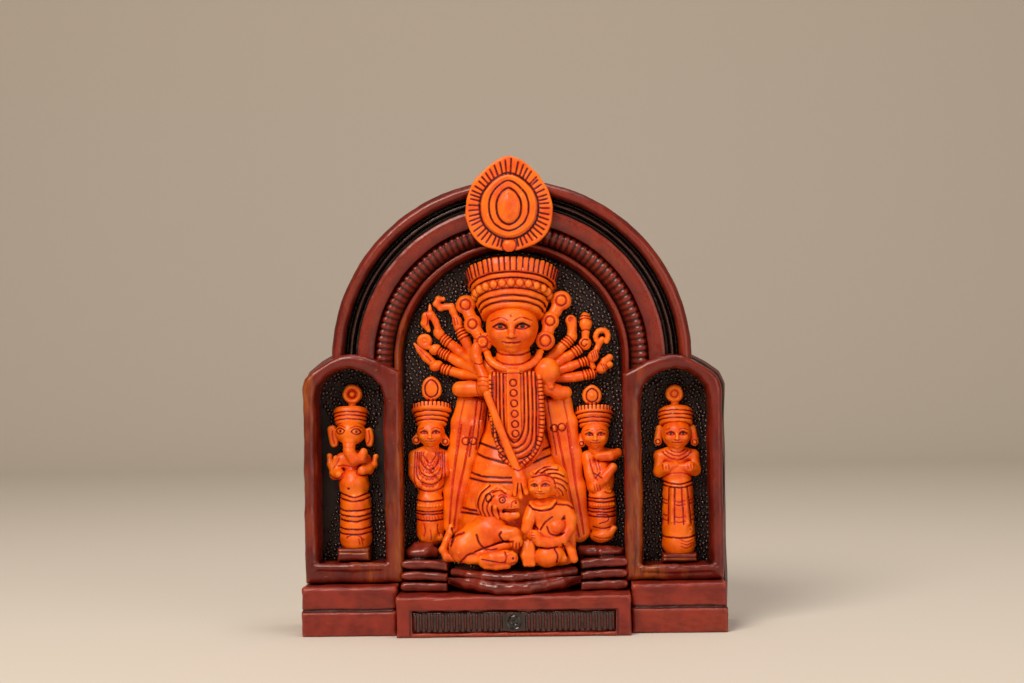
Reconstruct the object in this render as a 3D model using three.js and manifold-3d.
// A painted terracotta shrine plaque: a stepped plinth and an arched back slab with two side niches carry
// a goddess with her lion, a fallen foe and four attendant figures.  Every piece is pressed or modelled
// from clay on its own and luted to its neighbours, so each one here is its own solid with a thin slip joint.
//
// Relief frame used while modelling: x to the right, y up, z out of the back plane towards the viewer, in mm.
// The exported group turns that into +Z up with the viewer on the -Y side.
import * as THREE from "three";
import { mergeVertices } from "three/addons/utils/BufferGeometryUtils.js";
import Module from "manifold-3d";

const wasm = await Module();
wasm.setup();

// ---- Driving dimensions ----
const DEPTH = 48; // back plane to the front of the plinth
const FIELD = 12; // front face of the back slab
const SLIP = 0.3; // slip joint between neighbouring pieces
const SEAT = FIELD + SLIP; // back face of everything that lies on the slab
const ARCH_Y = 113.8; // centre height of the arch
const ARCH_R = 76.2; // outer radius of the arch
const ARCH_FOOT = 103; // the arch mouldings end here, behind the niche frames
const PLINTH_TOP = 16.8; // top of the middle plinth block
const SIDE_TOP = 20.3; // top of the side plinth blocks
const SIDE_STEP = 10.3; // top of the lower tier of a side block
const WING_X = 88.3; // half width across the niche frames
const WING_IN = 46.8; // half width of the middle bay
const STAGE_TOP = 25.3; // where the lion stands
const NICHE_FACE = 30; // front of the niche frames
const RIGHT_DROP = 2.2; // the right-hand niche sits this much lower than the left-hand one
const CROWN_TILT = THREE.MathUtils.degToRad(16); // the crown leans back against the slab

const LACQUER = "#9a2a1c";
const DARK = "#2c120e";
const CLAY = "#f4741a";

// ---- Geometry helpers: every one returns a manifold-3d solid ----
function solidOf(geometry) {
  const bare = geometry.index ? geometry.toNonIndexed() : geometry.clone();
  bare.deleteAttribute("normal");
  bare.deleteAttribute("uv");
  const merged = mergeVertices(bare, 1e-4);
  const mesh = new wasm.Mesh({
    numProp: 3,
    vertProperties: merged.attributes.position.array,
    triVerts: new Uint32Array(merged.index.array),
  });
  return new wasm.Manifold(mesh);
}

const join = (...solids) => solids.flat().reduce((a, b) => a.add(b));

// A closed outline pushed outwards by grow along its corner normals.
function pushed(points, grow) {
  if (!grow) return points;
  const around = THREE.ShapeUtils.area(points) > 0 ? 1 : -1;
  return points.map((p, i) => {
    const before = points[(i + points.length - 1) % points.length];
    const after = points[(i + 1) % points.length];
    const a = p.clone().sub(before).normalize();
    const b = after.clone().sub(p).normalize();
    const na = new THREE.Vector2(a.y, -a.x).multiplyScalar(around);
    const nb = new THREE.Vector2(b.y, -b.x).multiplyScalar(around);
    const mid = na.add(nb).normalize();
    const stretch = 1 / Math.max(0.5, mid.dot(nb));
    return p.clone().addScaledVector(mid, grow * stretch);
  });
}

const points2 = (list) => list.map(([x, y]) => new THREE.Vector2(x, y));

// A smooth closed outline through a few points.
function smooth(list, steps) {
  const path = new THREE.CatmullRomCurve3(
    list.map(([x, y]) => new THREE.Vector3(x, y, 0)),
    true,
  );
  return path
    .getPoints(steps)
    .slice(0, -1)
    .map((p) => new THREE.Vector2(p.x, p.y));
}

// A flat board: a front outline between two depths, with its front edge softened by a chamfer.
function board(outline, z0, z1, grow = 0, chamfer = 0) {
  const shape = new THREE.Shape(pushed(outline, grow - chamfer));
  const geometry = new THREE.ExtrudeGeometry(shape, {
    depth: z1 - z0 + 2 * grow - chamfer * 2,
    bevelEnabled: chamfer > 0,
    bevelThickness: chamfer,
    bevelSize: chamfer,
    bevelSegments: 1,
  });
  geometry.translate(0, 0, z0 - grow + chamfer);
  return solidOf(geometry);
}

function block(x0, x1, y0, y1, z0, z1, grow = 0) {
  const box = new THREE.BoxGeometry(x1 - x0 + 2 * grow, y1 - y0 + 2 * grow, z1 - z0 + 2 * grow);
  box.translate((x0 + x1) / 2, (y0 + y1) / 2, (z0 + z1) / 2);
  return solidOf(box);
}

function ball(x, y, z, rx, ry, rz, grow = 0, across = 12) {
  const sphere = new THREE.SphereGeometry(1, across, Math.ceil(across * 0.6));
  sphere.scale(rx + grow, ry + grow, rz + grow);
  sphere.translate(x, y, z);
  return solidOf(sphere);
}

// A tapering bar with round ends between two points; deep stretches it towards the viewer.
function bar([x0, y0, z0, r0], [x1, y1, z1, r1], grow, deep, sides) {
  const from = new THREE.Vector3(x0, y0, z0);
  const along = new THREE.Vector3(x1, y1, z1).sub(from);
  const length = along.length();
  const [a, b] = [r0 + grow, r1 + grow];
  const profile = points2([
    [0, -a],
    [a * 0.92, -a * 0.4],
    [b * 0.92, length + b * 0.4],
    [0, length + b],
  ]);
  const geometry = new THREE.LatheGeometry(profile, sides);
  geometry.scale(1, 1, deep);
  const turn = new THREE.Quaternion().setFromUnitVectors(new THREE.Vector3(0, 1, 0), along.normalize());
  geometry.applyQuaternion(turn);
  geometry.translate(x0, y0, z0);
  return solidOf(geometry);
}

// A limb: bars through a list of [x, y, z, radius]; a slender one needs fewer sides.
function limb(stations, grow = 0, deep = 1) {
  const sides = Math.max(...stations.map((s) => s[3])) > 3.2 ? 10 : 6;
  return join(stations.slice(1).map((s, i) => bar(stations[i], s, grow, deep, sides)));
}

// A turned shape standing on (x, y, z): profile is [radius, height]; deep squeezes it front to back.
function turned(x, y, z, profile, deep, tilt = 0, grow = 0, sides = 24) {
  const grown = profile.map(([r, h]) => [r > 0 ? r + grow : 0, h]);
  grown[0][1] -= grow;
  grown[grown.length - 1][1] += grow;
  if (profile[1][1] === profile[0][1]) grown[1][1] -= grow;
  if (profile.at(-2)[1] === profile.at(-1)[1]) grown.at(-2)[1] += grow;
  const geometry = new THREE.LatheGeometry(points2(grown), sides);
  geometry.scale(1, 1, deep);
  geometry.rotateX(-tilt);
  geometry.translate(x, y, z);
  return solidOf(geometry);
}

// A ring lying in the front plane, about a depth axis: section is [radius, z].
function hoop(x, y, section, sides = 64) {
  const closed = points2([...section, section[0]]);
  const geometry = new THREE.LatheGeometry(closed, sides);
  geometry.rotateX(Math.PI / 2);
  geometry.translate(x, y, 0);
  return solidOf(geometry);
}

// What stands in front of the slab.
const FRONT_SPACE = block(-100, 100, -1, 205, SEAT, 80);
const onSlab = (solid) => solid.intersect(FRONT_SPACE);

// ---- Outlines ----
function arcPoints(radius, from, to, steps) {
  return Array.from({ length: steps + 1 }, (_, i) => {
    const a = THREE.MathUtils.degToRad(from + ((to - from) * i) / steps);
    return new THREE.Vector2(radius * Math.cos(a), ARCH_Y + radius * Math.sin(a));
  });
}

// The shoulder of a wing, from its outer edge in to the foot of the arch; side is -1 left, +1 right.
function shoulder(side, halfWidth) {
  const drop = side > 0 ? RIGHT_DROP : 0;
  return points2([
    [side * halfWidth, 104 - drop],
    [side * (halfWidth - 2), 108.6 - drop],
    [side * (halfWidth - 7.5), 112.9 - drop],
    [side * (ARCH_R - 0.6), 116.6 - drop],
  ]);
}

function slabOutline(halfWidth) {
  return [
    ...points2([[halfWidth, 0]]),
    ...shoulder(1, halfWidth),
    ...arcPoints(ARCH_R, 2, 178, 24),
    ...shoulder(-1, halfWidth).reverse(),
    ...points2([[-halfWidth, 0]]),
  ];
}

// A niche frame's outer edge and its opening, side -1 left, +1 right.
function nicheOuter(side) {
  const drop = side > 0 ? RIGHT_DROP : 0;
  const foot = SIDE_TOP + SLIP;
  return points2(
    [
      [WING_X, foot],
      [WING_X, 104 - drop],
      [86.2, 108.4 - drop],
      [81, 112.4 - drop],
      [74.5, 116 - drop],
      [67.5, 117.3 - drop],
      [60.5, 116.2 - drop],
      [54, 113.2 - drop],
      [WING_IN, 109.4 - drop],
      [WING_IN, foot],
    ].map(([x, y]) => [side * x, y]),
  );
}

function nicheOpening(side) {
  const drop = side > 0 ? RIGHT_DROP : 0;
  return points2(
    [
      [82.2, 29.3 - drop],
      [82.2, 99.5 - drop],
      [80.6, 104.8 - drop],
      [76, 109 - drop],
      [69, 111.2 - drop],
      [61.5, 109.4 - drop],
      [56.4, 104.8 - drop],
      [55, 99.5 - drop],
      [55, 29.3 - drop],
    ].map(([x, y]) => [side * x, y]),
  );
}

// ---- Structure ----
function backSlab(grow) {
  const shape = new THREE.Shape(pushed(slabOutline(89.4), grow));
  const geometry = new THREE.ExtrudeGeometry(shape, { depth: FIELD + grow, bevelEnabled: false });
  // The slab widens by the mould's draft towards its back.
  const place = geometry.attributes.position;
  const draft = 1.024;
  for (let i = 0; i < place.count; i++) {
    if (place.getZ(i) === 0) place.setX(i, place.getX(i) * draft);
  }
  return solidOf(geometry);
}

function nicheFrame(side, grow) {
  const outer = board(nicheOuter(side), SEAT, NICHE_FACE, grow, 1.2);
  return outer.subtract(board(nicheOpening(side), SEAT - 5, NICHE_FACE + 5, -grow));
}

// One moulding of the arch; section is [radius, z] round the band.
function archBand(section, grow) {
  const middle = section.reduce((a, [r, z]) => [a[0] + r / section.length, a[1] + z / section.length], [0, 0]);
  const grown = section.map(([r, z]) => [r + Math.sign(r - middle[0]) * grow, z + Math.sign(z - middle[1]) * grow]);
  return hoop(0, ARCH_Y, grown, 48).intersect(block(-99, 99, ARCH_FOOT - grow, 205, -9, 80));
}

const ARCH_SECTIONS = {
  arch_outer_rim: [[71, SEAT], [ARCH_R, SEAT], [ARCH_R, 23.2], [74.9, 25.7], [73.4, 26.3], [71.9, 25.6], [71, 23.6]],
  arch_reed: [[65.5, SEAT], [70.7, SEAT], [70.7, 19.6], [69.1, 19.8], [68.1, 21.9], [67, 19.8], [65.5, 19.6]],
  arch_broad_band: [[58.2, SEAT], [65.2, SEAT], [65.2, 24.4], [64, 25.3], [59.4, 24.2], [58.2, 23.2]],
  arch_ribbed_band: [[50.3, SEAT], [57.9, SEAT], [57.9, 20.6], [56.4, 22.6], [53.6, 22], [51.4, 19.8], [50.3, 17.4]],
  arch_inner_bead: [[46.3, SEAT], [50, SEAT], [50, 16.4], [49.6, 18.2], [48.6, 18.8], [47.7, 17.8], [46.3, 14]],
};

function sidePlinth(side, grow) {
  const inner = 48.9;
  const outer = 89.6;
  const [x0, x1] = side < 0 ? [-outer, -inner] : [inner, outer];
  return join(
    block(x0, x1, 0, SIDE_STEP, SEAT, 41.6, grow),
    block(x0, x1, 0, SIDE_TOP, SEAT, 40, grow),
  );
}

function middlePlinth(grow) {
  const body = block(-48.5, 48.5, 0, PLINTH_TOP, SEAT, DEPTH, grow);
  return body.subtract(block(-42, 42.4, 1.6, 10.7, DEPTH - 2.4, DEPTH + 4, -grow));
}

function frieze(grow) {
  return block(-41.7, 42.1, 1.9, 10.4, DEPTH - 2.1, DEPTH - 0.8, grow);
}

// A curved tread of the stage: a front outline cut by a bowed plan.
function tread(halfWidth, top, edge, belly, front, grow) {
  const outline = points2([
    [-halfWidth, top],
    [-halfWidth, edge],
    [-halfWidth * 0.66, edge * 0.45 + belly * 0.55],
    [0, belly],
    [halfWidth * 0.66, edge * 0.45 + belly * 0.55],
    [halfWidth, edge],
    [halfWidth, top],
  ]);
  const bow = 12;
  const plan = turned(0, 0, front - bow, [[0, 0], [halfWidth + 2, 0], [halfWidth + 2, 40], [0, 40]], bow / (halfWidth + 2), 0, grow, 32);
  const body = block(-halfWidth - 3, halfWidth + 3, 0, 40, SEAT, front - bow, grow);
  return board(outline, SEAT, front + 1, grow).intersect(join(plan, body)).intersect(FRONT_SPACE);
}

// The moulded steps on each side of the stage, with the attendant's own footing on top.
function sideSteps(side, footTop, footX, grow) {
  const levels = [
    [17.1, 21.2, 33.5],
    [20.8, 24.4, 32.5],
    [24, 26.4, 29],
    [26, 29.8, 30.5],
  ];
  const steps = levels.map(([y0, y1, front]) => block(27.9, 46.4, y0, y1, SEAT, front, grow));
  const foot = block(footX - 6.2, footX + 6.2, 29.4, footTop, SEAT, 26.5, grow);
  const whole = join(steps, foot);
  return side < 0 ? whole.mirror([1, 0, 0]) : whole;
}

function keystone(grow) {
  return board(points2([[-15.5, 149.5], [15.5, 149.5], [17, 155], [12.5, 158], [-12.5, 158], [-17, 155]]), SEAT, 26.4, grow);
}

// ---- Medallion over the crown ----
const MEDAL = { x: 0.5, y: 178 };

function leaf(halfWidth, low, high, steps) {
  return smooth(
    [
      [MEDAL.x, high],
      [MEDAL.x - halfWidth * 0.72, high - (high - low) * 0.2],
      [MEDAL.x - halfWidth, (high + low) / 2 - 0.5],
      [MEDAL.x - halfWidth * 0.72, low + (high - low) * 0.18],
      [MEDAL.x, low],
      [MEDAL.x + halfWidth * 0.72, low + (high - low) * 0.18],
      [MEDAL.x + halfWidth, (high + low) / 2 - 0.5],
      [MEDAL.x + halfWidth * 0.72, high - (high - low) * 0.2],
    ],
    steps,
  );
}

// ---- Goddess ----
function gown(grow) {
  const profile = [[0, 0], [26.6, 0], [26.4, 8], [24.4, 18], [21.4, 28], [17.6, 38], [13.4, 47], [11.6, 52], [0, 52]];
  return onSlab(turned(0.6, 38, SEAT, profile, 0.74, 0, grow, 28));
}

function cloak(side, grow) {
  const lift = side > 0 ? 0 : 3;
  const outline = points2([
    [side * 12.5, 98],
    [side * 22.4, 97.5],
    [side * 24.9, 88],
    [side * 27, 74],
    [side * 28.9, 58],
    [side * 31.2, 38.5 + lift],
    [side * 26.4, 36 + lift],
    [side * 24.5, 50],
    [side * 20, 66],
    [side * 13.5, 82],
  ]);
  return onSlab(board(outline, SEAT, 21, grow, 1));
}

function bodice(grow) {
  const bib = smooth([[-8.6, 108], [-8.8, 92], [-5.5, 78], [2.5, 67.5], [9.5, 72.5], [13.2, 84], [12, 108]], 18);
  const chest = limb([[1.2, 105, 18, 11], [1.6, 88, 18, 10]], grow);
  return onSlab(join(board(bib, SEAT, 29.8, grow, 1), chest));
}

function head(grow) {
  const neck = limb([[0.9, 117, 21.5, 6.8], [0.9, 112, 21, 8.2]], grow);
  return onSlab(join(ball(0.6, 127.6, 22.5, 11.2, 10.6, 12, grow, 16), neck));
}

function crown(grow) {
  const profile = [[0, 0], [12.9, 0], [13.9, 2.2], [14.3, 8.4], [16.6, 8.9], [17.2, 12.9], [18.4, 13.6], [19.5, 15.4], [19.3, 21], [0, 21]];
  return onSlab(turned(0.6, 132.2, 21.5, profile, 0.84, CROWN_TILT, grow, 28));
}

function earOrnament(side, grow) {
  const [top, middle, ring] = side < 0
    ? [[-19.2, 137.6], [-16.3, 129.3], [-12, 121.5]]
    : [[21.5, 138.7], [16.6, 130.1], [14.7, 121.7]];
  return onSlab(
    join(
      limb([[...top, 18, 4.2], [...middle, 20, 3.9]], grow, 0.8),
      limb([[...middle, 20, 3.6], [...ring, 22, 3.9]], grow, 0.8),
    ),
  );
}

// Four slender arms on each side, from the shoulder out to the emblem each one holds.
const ARMS = {
  goddess_arm_left_1: [[-15.5, 114, 18, 2.1], [-20.8, 125, 17, 2.2], [-23, 129.5, 16.5, 2.3], [-26, 137, 15.5, 1.3], [-30.5, 138.5, 15, 1.5]],
  goddess_arm_left_2: [[-16.5, 112.5, 16, 2], [-27.5, 122, 16, 2.2], [-31, 126, 16, 2.4], [-32, 130.5, 15.5, 1.6], [-35, 135, 15.5, 1.8]],
  goddess_arm_left_3: [[-15, 108.5, 16, 1.9], [-28.5, 117, 16, 2], [-33.5, 119.2, 16, 2.5], [-37.3, 122.8, 15.5, 2.9]],
  goddess_arm_left_4: [[-14.5, 106.8, 16, 1.7], [-27.8, 109.6, 16, 2], [-33.5, 112.5, 16, 2.4], [-41, 120.3, 15, 0.8]],
  goddess_arm_right_1: [[15.5, 114.5, 17, 2], [24, 121, 17, 2.2], [26, 124.5, 16.5, 2.2], [25.6, 130, 16, 2.3]],
  goddess_arm_right_2: [[18.5, 111.8, 16.5, 1.9], [28, 117.2, 16.5, 2.2], [31.4, 120.5, 16.5, 2.7], [31.6, 128, 16, 2.6], [31.4, 131.8, 15.5, 1.7]],
  goddess_arm_right_3: [[19.5, 108.8, 16.5, 1.7], [31.5, 112.8, 16.5, 1.9], [35.4, 115.6, 16.5, 2.5], [36.2, 121.5, 16, 1.8], [38.6, 124.2, 15.5, 2.4]],
  goddess_arm_right_4: [[19.5, 105.4, 16.5, 1.7], [33.5, 107.2, 16.5, 2], [38, 109.2, 16.5, 2], [41, 112.4, 15.5, 1.7]],
};

function frontArm(side, grow) {
  if (side > 0) {
    return onSlab(limb([[15.5, 101.5, 22, 3.2], [22, 99.8, 20, 2.6]], grow, 1.1));
  }
  const sleeve = limb([[-22, 102, 19.5, 3.3], [-14.5, 101.5, 22, 3.5]], grow, 1.1);
  const forearm = limb([[-12, 105.5, 26, 2.7], [-14.2, 112.5, 24, 1.9], [-16.2, 119, 22, 2.7]], grow);
  const wrist = limb([[-14.5, 101.5, 22, 3.3], [-12, 103.5, 26, 2.7]], grow);
  return onSlab(join(sleeve, forearm, wrist));
}

function trident(grow) {
  const shaft = limb([[-10.3, 99.5, 27.5, 1.7], [-4, 84, 31, 1.9], [2.2, 67, 33, 2]], grow);
  const prongs = [[0.9, 57.2], [3.4, 56.4], [5.9, 58]].map(([x, y]) => limb([[2.6, 65.2, 34, 2.1], [x, y, 34.8, 1.1]], grow));
  return join(shaft, prongs);
}

// ---- Lion, fallen buffalo and foe ----
function lionBody(grow) {
  return join(
    limb([[-21, 36, 32, 5.4], [-13, 41.5, 32, 5.2], [-9.5, 46, 32.5, 4.6]], grow, 1),
    limb([[-22.5, 31, 35, 2.6], [-19, 34.5, 36, 3.4]], grow),
    limb([[-9.5, 42, 35, 3.4], [-1, 40.2, 38, 2.6], [1.2, 37.4, 38.5, 2.9]], grow),
    limb([[-24.5, 32.4, 32, 1.7], [-29.4, 33, 31, 1.7], [-29.4, 38, 30, 1.6], [-26.8, 44, 29, 1.3]], grow),
  );
}

function lionHead(grow) {
  return join(
    ball(-9.6, 54.6, 33.5, 6.6, 8, 5.4, grow),
    limb([[-5.4, 56.6, 36.5, 4.2], [-1, 55.2, 38, 3.2]], grow),
    limb([[-4.6, 50.2, 36, 2.2], [1.4, 49, 37.5, 1.9]], grow),
  );
}

function buffalo(grow) {
  return limb([[-12.4, 29.4, 38, 2.6], [-5, 30.6, 39.5, 3.6], [-0.6, 31.8, 39.5, 3]], grow);
}

function foeBody(grow) {
  return join(
    limb([[10, 51, 34, 3.4], [22.5, 51.2, 34, 3.6]], grow),
    limb([[15, 50, 34, 6.2], [16.5, 42.5, 34, 6.2]], grow),
    limb([[24, 50.5, 34, 2.9], [25, 43.5, 34.5, 2.4], [19.5, 38.2, 37, 2.5], [9.5, 39.8, 38.5, 2.3]], grow),
    limb([[8, 50, 35, 2.6], [5, 44, 37, 2.2]], grow),
    limb([[14.4, 31.2, 37.5, 4.2], [19, 33.5, 36, 3]], grow),
    limb([[22.6, 36.5, 34, 1.8], [25.2, 31, 35, 2]], grow),
    limb([[8.6, 36.5, 36, 1.9], [6.8, 29.2, 38, 2]], grow),
  );
}

function foeHead(grow) {
  return join(
    ball(12.6, 62, 36.5, 6, 5.8, 5.4, grow),
    ball(17.8, 64.4, 33.5, 6.4, 6.2, 5, grow),
    limb([[17, 70.2, 31, 2.6], [21.6, 61.5, 32, 2.2]], grow),
  );
}

// ---- Attendants: each is modelled about its own foot point, and shares the same build ----
// stance is the body's limbs, face the head, hat a turned headdress and finial the ornament over it.
function placed(list, x, y) {
  return list.map(([dx, dy, ...rest]) => [x + dx, y + dy, ...rest]);
}

const ATTENDANTS = {
  elephant_god: {
    at: [-68.5, 35.3],
    stance: [
      [[0, 1.2, 15, 6.8], [0, 20, 15, 6.4]],
      [[0.3, 27.5, 16, 6], [0, 36.5, 15.5, 6.2]],
      [[-5, 38, 16, 2.6], [-6.8, 32.4, 19, 2.6], [-9.6, 38, 17, 1.6]],
      [[5, 38, 16, 2.6], [7, 32.6, 19, 2.6], [10, 37, 17, 1.4]],
    ],
    head: [
      [[0.2, 49.6, 17.5, 6], [0.4, 46.2, 18, 5.2]],
      [[0.2, 47, 21.5, 2.7], [0.6, 40.8, 23.5, 2.5], [3.6, 37.4, 23, 2.3], [6, 40.6, 22, 1.7]],
      [[-7.4, 50.4, 15.5, 2.6], [-7.2, 45, 15.5, 2.4]],
      [[7.2, 49.4, 15.5, 2.6], [7.2, 45.6, 15.5, 2.4]],
    ],
    hat: { y: 51.6, profile: [[0, 0], [6.7, 0], [7.6, 5.4], [6.2, 7.6], [0, 8.4]] },
    finial: [[-0.5, 65, 15.5, 4.1]],
  },
  left_attendant: {
    at: [-35.2, 37.6],
    stance: [
      [[-1, 1.8, 16, 5.4], [-0.6, 18, 16, 5.4]],
      [[0.4, 24, 16.5, 5.4], [0, 35, 16, 6]],
      [[-6, 36, 16, 2.8], [-7, 31, 18, 2.5], [-2.5, 32, 20.5, 2]],
      [[6, 36, 16, 2.4], [5.6, 29, 18, 2.3], [2.4, 32.5, 20.5, 1.8]],
    ],
    head: [
      [[0.4, 46.6, 18.5, 6.1], [0.4, 43.6, 19, 4.8]],
      [[-6, 42.4, 17, 2], [-5.6, 46.6, 16.5, 2]],
      [[6.2, 41.8, 17, 2.2], [6.1, 46.2, 16.5, 2]],
    ],
    hat: { y: 48.8, profile: [[0, 0], [6.4, 0], [7.2, 2.4], [8.6, 5.2], [8.2, 8.6], [0, 8.6]] },
    finial: [[0.7, 63.6, 15.5, 3.5], [0.7, 66.2, 15.5, 3]],
  },
  right_attendant: {
    at: [36.4, 35.2],
    stance: [
      [[1, 2.9, 17, 5.2], [1, 19, 16, 5.6]],
      [[0.8, 25, 16.5, 5.8], [-0.6, 34, 16, 6]],
      [[-4.4, 27, 19.5, 2.5], [1.6, 36.2, 19, 2.3], [7.4, 37.4, 18, 2.2]],
      [[6, 36, 16, 2.4], [7.8, 39.5, 16.5, 2.3]],
    ],
    head: [
      [[-1, 47, 18.5, 6.1], [-0.8, 44, 19, 4.8]],
      [[-7.2, 42.4, 16.5, 1.7], [-6.6, 45.6, 16, 1.5]],
    ],
    hat: { y: 49.4, profile: [[0, 0], [6.4, 0], [7.4, 2.6], [8.2, 4.8], [7.6, 8], [0, 8]] },
    finial: [[-2.4, 63, 15.5, 4]],
  },
  right_niche_god: {
    at: [69.6, 31.2],
    stance: [
      [[0.6, 1.4, 15, 7], [0, 28, 15, 6]],
      [[-0.2, 31, 15.5, 6.4], [-0.4, 40, 15.5, 7]],
      [[-7, 39.5, 15.5, 2.8], [-6.6, 34, 18, 2.9], [-4.6, 36.4, 20.5, 2.4]],
      [[6.2, 39.5, 15.5, 2.8], [6.6, 34.6, 18, 2.7], [4.8, 36.2, 20.5, 2.3]],
      [[3, 4.6, 20, 2.6], [4.6, 9.2, 20.5, 2.4]],
    ],
    head: [
      [[0, 51.4, 17.5, 6.8], [0, 48, 18, 5.2]],
      [[-7.6, 47.6, 15.5, 2], [-6.8, 52.6, 15.5, 1.6]],
      [[7.4, 47.2, 15.5, 2], [7, 52, 15.5, 1.6]],
    ],
    hat: { y: 54, profile: [[0, 0], [7.4, 0], [7.9, 4.4], [6.6, 8.2], [0, 9]] },
    finial: [[-0.6, 67.4, 15.5, 3.8]],
  },
};

const figureLimbs = (who, part, grow) =>
  onSlab(join(who[part].map((chain) => limb(placed(chain, ...who.at), grow, 1.15))));

function figureHat(who, grow) {
  const [x, y] = who.at;
  const hat = turned(x, y + who.hat.y, 16.5, who.hat.profile, 0.8, THREE.MathUtils.degToRad(10), grow, 16);
  const finial = who.finial.map(([dx, dy, z, r]) => ball(x + dx, y + dy, z, r, r, 3, grow));
  const [fx, fy] = who.finial[0];
  const stem = block(x + fx - 1.6, x + fx + 1.6, y + who.hat.y + 5, y + fy, SEAT, 17, grow);
  return onSlab(join(hat, finial, stem));
}

function footing(x, y0, y1, halfWidth, grow) {
  return block(x - halfWidth, x + halfWidth, y0, y1, SEAT, 24, grow);
}

// ---- The pieces, back to front: a later piece gives way to every earlier one by a slip joint ----
const PIECES = [
  ["back_slab", DARK, backSlab],
  ["plinth_left", LACQUER, (g) => sidePlinth(-1, g)],
  ["plinth_right", LACQUER, (g) => sidePlinth(1, g)],
  ["plinth_middle", LACQUER, middlePlinth],
  ["plinth_frieze", DARK, frieze],
  ["niche_frame_left", LACQUER, (g) => nicheFrame(-1, g)],
  ["niche_frame_right", LACQUER, (g) => nicheFrame(1, g)],
  ...Object.entries(ARCH_SECTIONS).map(([name, section]) => [
    name,
    name === "arch_reed" ? DARK : LACQUER,
    (g) => archBand(section, g),
  ]),
  ["keystone_bracket", LACQUER, keystone],
  ["stage_lower_tread", LACQUER, (g) => tread(27.6, 22, 21, 17.2, 46, g)],
  ["stage_upper_tread", LACQUER, (g) => tread(25.6, STAGE_TOP, 24, 22.4, 43.5, g)],
  ["stage_steps_left", LACQUER, (g) => sideSteps(-1, 37, 37.4, g)],
  ["stage_steps_right", LACQUER, (g) => sideSteps(1, 34.8, 36.6, g)],
  ["elephant_god_footing", LACQUER, (g) => footing(-68.4, 29.6, 35, 7.1, g)],
  ["right_niche_god_footing", LACQUER, (g) => footing(69.8, 27.4, 30.9, 7.6, g)],
  ["medallion_disc", CLAY, (g) => board(leaf(18.4, 159.2, 200, 28), 26.8, 31.6, g, 1)],
  ["medallion_ring", CLAY, (g) => board(leaf(11.6, 165.4, 191.6, 24), 31.9, 33.4, g, 0.5)],
  ["medallion_boss", CLAY, (g) => board(leaf(5, 171.2, 185, 16), 33.7, 35.2, g, 0.5)],
  ["goddess_gown", CLAY, gown],
  ["goddess_cloak_left", CLAY, (g) => cloak(-1, g)],
  ["goddess_cloak_right", CLAY, (g) => cloak(1, g)],
  ["goddess_bodice", CLAY, bodice],
  ["goddess_head", CLAY, head],
  ["goddess_crown", CLAY, crown],
  ["goddess_ear_ornament_left", CLAY, (g) => earOrnament(-1, g)],
  ["goddess_ear_ornament_right", CLAY, (g) => earOrnament(1, g)],
  ["goddess_front_arm_left", CLAY, (g) => frontArm(-1, g)],
  ["goddess_front_arm_right", CLAY, (g) => frontArm(1, g)],
  ["goddess_shield", CLAY, (g) => onSlab(ball(15, 108.6, 22.5, 5.7, 5.9, 4.6, g, 14))],
  ...Object.entries(ARMS).map(([name, stations]) => [name, CLAY, (g) => onSlab(limb(stations, g, 1.4))]),
  ["goddess_trident", CLAY, trident],
  ["lion_body", CLAY, lionBody],
  ["lion_head", CLAY, lionHead],
  ["fallen_buffalo", CLAY, buffalo],
  ["foe_body", CLAY, foeBody],
  ["foe_head", CLAY, foeHead],
  ...Object.entries(ATTENDANTS).flatMap(([name, who]) => [
    [name + "_body", CLAY, (g) => figureLimbs(who, "stance", g)],
    [name + "_head", CLAY, (g) => figureLimbs(who, "head", g)],
    [name + "_headdress", CLAY, (g) => figureHat(who, g)],
  ]),
];

const apart = (a, b) =>
  [0, 1, 2].some((k) => a.min[k] > b.max[k] + SLIP || b.min[k] > a.max[k] + SLIP);

const plaque = new THREE.Group();
const laid = [];
for (const [name, colour, shape] of PIECES) {
  let solid = shape(0);
  for (const earlier of laid) {
    if (!apart(solid.boundingBox(), earlier.solid.boundingBox())) {
      solid = solid.subtract(earlier.shape(SLIP));
    }
  }
  // Trimming can leave crumbs; the piece is the largest body.
  const bodies = solid.decompose();
  solid = bodies.reduce((a, b) => (a.volume() > b.volume() ? a : b)).simplify(0.05);
  laid.push({ name, shape, solid });

  const mesh = solid.getMesh();
  const corners = new Float32Array(mesh.numVert * 3);
  for (let i = 0; i < mesh.numVert; i++) {
    corners.set(mesh.vertProperties.subarray(i * mesh.numProp, i * mesh.numProp + 3), i * 3);
  }
  const geometry = new THREE.BufferGeometry();
  geometry.setAttribute("position", new THREE.BufferAttribute(corners, 3));
  geometry.setIndex(new THREE.BufferAttribute(mesh.triVerts, 1));
  geometry.computeVertexNormals();
  const material = new THREE.MeshStandardMaterial({ color: colour, roughness: 0.45, metalness: 0 });
  const piece = new THREE.Mesh(geometry, material);
  piece.name = name;
  plaque.add(piece);
}

// Relief frame to part frame: y becomes +Z up, and the viewer's side becomes -Y.
plaque.rotation.x = Math.PI / 2;
plaque.position.y = DEPTH / 2;

export default plaque;
